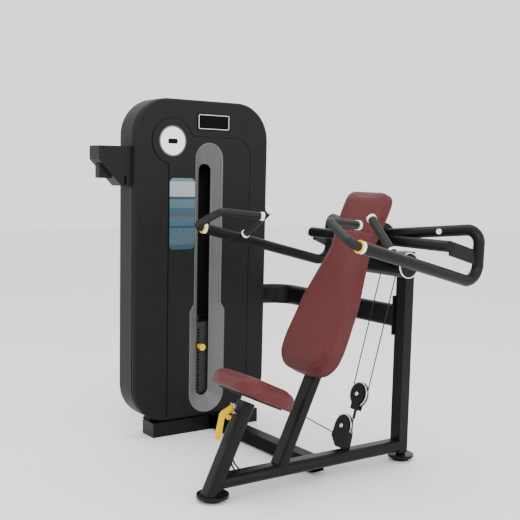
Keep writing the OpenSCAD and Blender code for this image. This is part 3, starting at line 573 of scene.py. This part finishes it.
def on_post(foot_y, x, t, s):
    """A point beside a leaning post: t to its rear and s up it, in millimetres."""
    return bench(x, foot_y + t * math.cos(LEAN) + s * math.sin(LEAN),
                 -t * math.sin(LEAN) + s * math.cos(LEAN))


def inset_outline(outline, d):
    """Outline moved inwards by d, with its points kept in step."""
    n = len(outline)
    moved = []
    for i in range(n):
        ax, ay = outline[i - 1]
        bx, by = outline[(i + 1) % n]
        tx, ty = bx - ax, by - ay
        size = math.hypot(tx, ty) or 1.0
        moved.append((outline[i][0] - ty / size * d, outline[i][1] + tx / size * d))
    return moved


def even_steps(outline, step):
    """Closed outline with points at nearly even steps along it."""
    out = []
    n = len(outline)
    for i in range(n):
        ax, ay = outline[i]
        bx, by = outline[(i + 1) % n]
        size = math.hypot(bx - ax, by - ay)
        parts = max(1, round(size / step))
        for k in range(parts):
            out.append((ax + (bx - ax) * k / parts, ay + (by - ay) * k / parts))
    return out


def soften(outline, rounds):
    """Evens out the corners of a closed outline."""
    for _ in range(rounds):
        n = len(outline)
        outline = [((outline[i - 1][0] + 2 * outline[i][0] + outline[(i + 1) % n][0]) / 4,
                    (outline[i - 1][1] + 2 * outline[i][1] + outline[(i + 1) % n][1]) / 4)
                   for i in range(n)]
    return outline


def cushion(name, outline, rows, place, voxel, grooves):
    """A padded cover over a board: lofted a little small, swollen as cloth, then sewn.

    outline lies in the board's plane and place(u, v, h) puts a point h above the board.
    rows are (height, inset) pairs from the board to the crown; grooves(u, v, edge, h) gives the
    depth of the sewn lines where edge is the distance in from the outline."""
    loops = [[place(u, v, h) for u, v in inset_outline(outline, d)] for h, d in rows]
    mesh = loft(name, loops)
    bm = bmesh.new()
    bm.from_mesh(mesh)
    bmesh.ops.recalc_face_normals(bm, faces=bm.faces)
    bm.to_mesh(mesh)
    bm.free()
    obj = scratch(name, mesh)
    modifier = obj.modifiers.new("remesh", "REMESH")
    modifier.mode = "VOXEL"
    modifier.voxel_size = voxel
    bake(obj)
    origin = place(0.0, 0.0, 0.0)
    up = (place(0.0, 0.0, 1000.0) - origin).normalized()
    board = up.dot(origin)
    start = [v.co.copy() for v in obj.data.vertices]
    group = obj.vertex_groups.new(name="board")
    group.add([i for i, co in enumerate(start) if up.dot(co) - board < PINNED_HEIGHT],
              1.0, "REPLACE")
    cloth = obj.modifiers.new("cloth", "CLOTH")
    cloth.settings.quality = 5
    cloth.settings.mass = 0.3
    cloth.settings.tension_stiffness = 12
    cloth.settings.compression_stiffness = 12
    cloth.settings.shear_stiffness = 6
    cloth.settings.bending_stiffness = 1.2
    cloth.settings.use_pressure = True
    cloth.settings.uniform_pressure_force = CLOTH_PRESSURE
    cloth.settings.effector_weights.gravity = 0
    cloth.settings.vertex_group_mass = "board"
    cloth.collision_settings.use_collision = False
    cloth.collision_settings.use_self_collision = False
    for number in range(1, CLOTH_FRAMES + 1):
        bpy.context.scene.frame_set(number)
    bake(obj)
    bpy.context.scene.frame_set(1)
    for vertex, co in zip(obj.data.vertices, start):
        move = vertex.co - co
        if move.length > CLOTH_CAP:
            vertex.co = co + move * (CLOTH_CAP / move.length)
    smooth = obj.modifiers.new("smooth", "SMOOTH")
    smooth.factor = 0.5
    smooth.iterations = 4
    fine = obj.modifiers.new("fine", "SUBSURF")
    fine.levels = fine.render_levels = 1
    bake(obj)
    right = (place(1000.0, 0.0, 0.0) - origin).normalized()
    along = (place(0.0, 1000.0, 0.0) - origin).normalized()
    border = np.array(even_steps(outline, 4.0))
    co = np.array([v.co for v in obj.data.vertices])
    local = (co - np.array(origin)) * 1000
    u, v, h = local @ np.array(right), local @ np.array(along), local @ np.array(up)
    edge = np.full(len(co), 1e9)
    for k in range(0, len(border), 200):
        part = border[k:k + 200]
        far = np.hypot(u[:, None] - part[None, :, 0], v[:, None] - part[None, :, 1])
        edge = np.minimum(edge, far.min(axis=1))
    off_board = np.clip(h / 10, 0, 1)
    depth = grooves(u, v, edge, h) - 1.2 * off_board * np.clip((edge - 4) / 12, 0, 1)
    co = co - np.array(up)[None, :] * (depth / 1000)[:, None]
    obj.data.vertices.foreach_set("co", co.reshape(-1))
    obj.data.update()
    return take_mesh(obj)


def line(distance, depth, width):
    """Cross-section of a sewn line, depth deep where distance is nought."""
    return depth * np.exp(-(distance / width) ** 2)


def seat_grooves(u, v, edge, h):
    top = np.clip((h - 30) / 14, 0, 1)
    crown = -2.5 * np.clip(edge / 110, 0, 1) ** 0.7
    return top * (line(edge - 31, 1.7, 3.2) + crown)


def back_grooves(u, v, edge, h):
    top = np.clip((h - 26) / 12, 0, 1)
    return top * (line(edge - 33, 1.6, 3.2) + line(v - 586.0, 3.6, 5.0)
                  - 2.0 * np.clip(edge / 120, 0, 1))


def make_cushions():
    """Seat and back cushions; the back one is wide low down, with a waist and a head part."""
    seat_outline = even_steps(rounded_rect(303, 255, 84, 14), OUTLINE_STEP)
    seat_rows = [(0.5, 4), (4, 1), (10, 0), (38, 0), (47, 2), (53, 6), (57.5, 13), (60.5, 23),
                 (62, 38), (62.5, 70)]
    seat = cushion("seat_cushion", seat_outline, seat_rows,
                   lambda u, v, h: on_post(SEAT_FOOT_Y, u, SEAT_MIDDLE_T + v, SEAT_S + h),
                   0.005, seat_grooves)
    seat = add("seat_cushion", seat, "cushion", "seat", 180)
    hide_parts("seat_pad")
    wide, waist, top, low_r, top_r, tall = 167.0, 103.0, 119.5, 100.0, 42.0, 766.0
    right = [(0.0, 1.0)]
    right += [(wide - low_r + low_r * math.sin(math.radians(a)),
               1.0 + low_r - low_r * math.cos(math.radians(a))) for a in range(0, 91, 9)]
    right += [(wide, 150.0), (wide - 14, 300.0), (waist, 508.0), (waist + 1, 545.0),
              (top - 1, 590.0), (top, tall - top_r)]
    right += [(top - top_r + top_r * math.cos(math.radians(a)),
               tall - top_r + top_r * math.sin(math.radians(a))) for a in range(9, 91, 9)]
    right += [(0.0, tall)]
    left = [(-u, v) for u, v in reversed(right)][1:-1]
    back_outline = soften(even_steps(right + left, OUTLINE_STEP), 5)
    back_rows = [(0.5, 4), (4, 1), (8, 0), (41, 0), (47, 2), (52, 7), (57, 17), (61.5, 29),
                 (64, 40), (65, 75)]
    back = cushion("back_cushion", back_outline, back_rows,
                   lambda u, v, h: on_post(BACK_FOOT_Y, u, BACK_BOARD_T - h, BACK_S + v),
                   0.006, back_grooves)
    back = add("back_cushion", back, "cushion", "frame", 180)
    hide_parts("back_pad")


# ------------------------------------------------------------------ cables and pulleys

X, Y, Z = Vector((1, 0, 0)), Vector((0, 1, 0)), Vector((0, 0, 1))
TILT = math.radians(15.27)
RUN_U = Vector((0, math.sin(TILT), math.cos(TILT)))
RUN_N = Vector((0, math.cos(TILT), -math.sin(TILT)))
CABLE_R, HELD_R = 0.0024, 0.0023
CAM_R, HELD_CAM_R, GUIDE_R, WHEEL_R = 0.066, 0.0659, 0.031, 0.045
BASE_R, TOP_R = 0.036, 0.040
GUIDE = bench(0, 800, 842)
FLOAT_C = GUIDE + GUIDE_R * RUN_N - 0.543 * RUN_U
LOWER_C = FLOAT_C - Vector((WHEEL_R, 0, 0)) - 0.142 * RUN_U


def straight(a, b, steps=2):
    return [a + (b - a) * i / steps for i in range(steps + 1)]


def make_cables():
    """Arm cables, the loop round the floating pulley, and the bench cable to the stack. The runs
    that change length are straight tubes between their two ends, attached to no body."""
    stands = None
    for name, side in (("right", 1), ("left", -1)):
        off = Vector((0.045 * side, 0, 0))
        cam = bench(45 * side, 740, 939)
        add("cam_cable_" + name, sweep_tube("cam_cable", arc(
            cam, Y, Z, CAM_R, -166, 76, 24), CABLE_R), "cable", name + "_press", 60)
        held = add("held_cable_" + name, sweep_tube("held_cable", arc(
            cam, Y, Z, HELD_CAM_R, -161, 71, 24) + straight(cam - HELD_CAM_R * Z,
                                                            GUIDE + off + GUIDE_R * Z)
            + arc(GUIDE + off, Y, Z, GUIDE_R, 90, -90 - 15.27, 16)[1:], HELD_R),
            "cable", "frame", 60)
        stands = stands or held
        run = sweep_tube("run", straight(GUIDE + off + GUIDE_R * RUN_N, FLOAT_C + off, 60), CABLE_R)
        run = add_free("cable_run_" + name, run, "cable")
        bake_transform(run)
    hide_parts("arm_cable")
    add("floating_loop", sweep_tube("floating_loop", arc(FLOAT_C, X, RUN_U, WHEEL_R, -180, 180, 40),
                                    CABLE_R), "cable", "floating", 60)
    rod_end = FLOAT_C - 0.0995 * RUN_U
    side_in = LOWER_C + WHEEL_R * X
    link = add_free("lower_run", sweep_tube("lower_run", straight(rod_end, side_in, 30), CABLE_R),
                    "cable")
    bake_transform(link)
    base_c = bench(-862, CABLE_IN_Y, 251.4)
    top_a, top_b = bench(-898, 597.7, 1330), bench(-898, 491, 1330)
    path = arc(LOWER_C, X, RUN_U, WHEEL_R, 0, -96, 24)
    enter = arc(base_c, X, Z, BASE_R, -96, -84, 20)
    path = path[:-1] + straight(path[-1], enter[0], 8)[:-1] + enter
    path += arc(top_a, Y, Z, TOP_R, 0, 90, 16)
    path += arc(top_b, Y, Z, TOP_R, 90, 90, 16)
    held = add("stack_cable", sweep_tube("stack_cable", path, CABLE_R), "cable", "frame",
               60)
    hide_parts("bench_cable")
    last = straight(top_b - TOP_R * Y, bench(-898, 451, 503), 60)
    drop = add_free("stack_run", sweep_tube("stack_run", last, CABLE_R), "cable")
    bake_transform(drop)


def add_free(name, mesh, material):
    obj = bpy.data.objects.new(name, mesh)
    bpy.context.scene.collection.objects.link(obj)
    mesh.materials.clear()
    mesh.materials.append(MATERIALS[material])
    for face in mesh.polygons:
        face.use_smooth = True
    mesh.set_sharp_from_angle(angle=math.radians(60))
    return obj


def make_rims():
    """Bright rims and hub caps on the pulleys under the bench."""
    rim = [(46.2, 3.4), (50.4, 3.4), (50.8, 4.2), (50.8, 6.6), (50.2, 7.3), (46.2, 7.3)]
    nut = [(0.6, 12.2), (9.0, 12.2), (9.6, 13.0), (9.6, 16.0), (8.6, 17.2), (0.6, 17.2)]
    for name, centre, wheel, keeper in (("floating", FLOAT_C, "floating_wheel", "floating"),
                                        ("lower", LOWER_C, "lower_wheel", "frame")):
        for side in (-1, 1):
            add(f"{name}_rim_{side}", revolve(f"{name}_rim", rim, centre, side * RUN_N, 64),
                "bright_steel", wheel, 30)
            add(f"{name}_nut_{side}", revolve(f"{name}_nut", nut, centre, side * RUN_N, 6),
                "bright_steel", keeper, 20)


def make_yellow_edges():
    """Thin yellow edge rings beside the white collars at the front of each arm."""
    for name, side in (("right", 1), ("left", -1)):
        front = bench(493 * side, 250, 955)
        rear = bench(437 * side, 862, 799)
        out = (front - rear).normalized()
        ring = [(15.8, 0.0), (22.2, 0.0), (22.6, 1.2), (22.2, 2.4), (15.8, 2.4)]
        add("arm_ring_" + name, revolve("arm_ring", ring, front + 0.0145 * out, out, 48),
            "yellow_plastic", name + "_press", 30)


# ------------------------------------------------------------------ build

make_materials()
make_camera()
make_stage()
dress_nodes()
make_tower()
make_plates()
make_cushions()
make_cables()
make_rims()
make_yellow_edges()
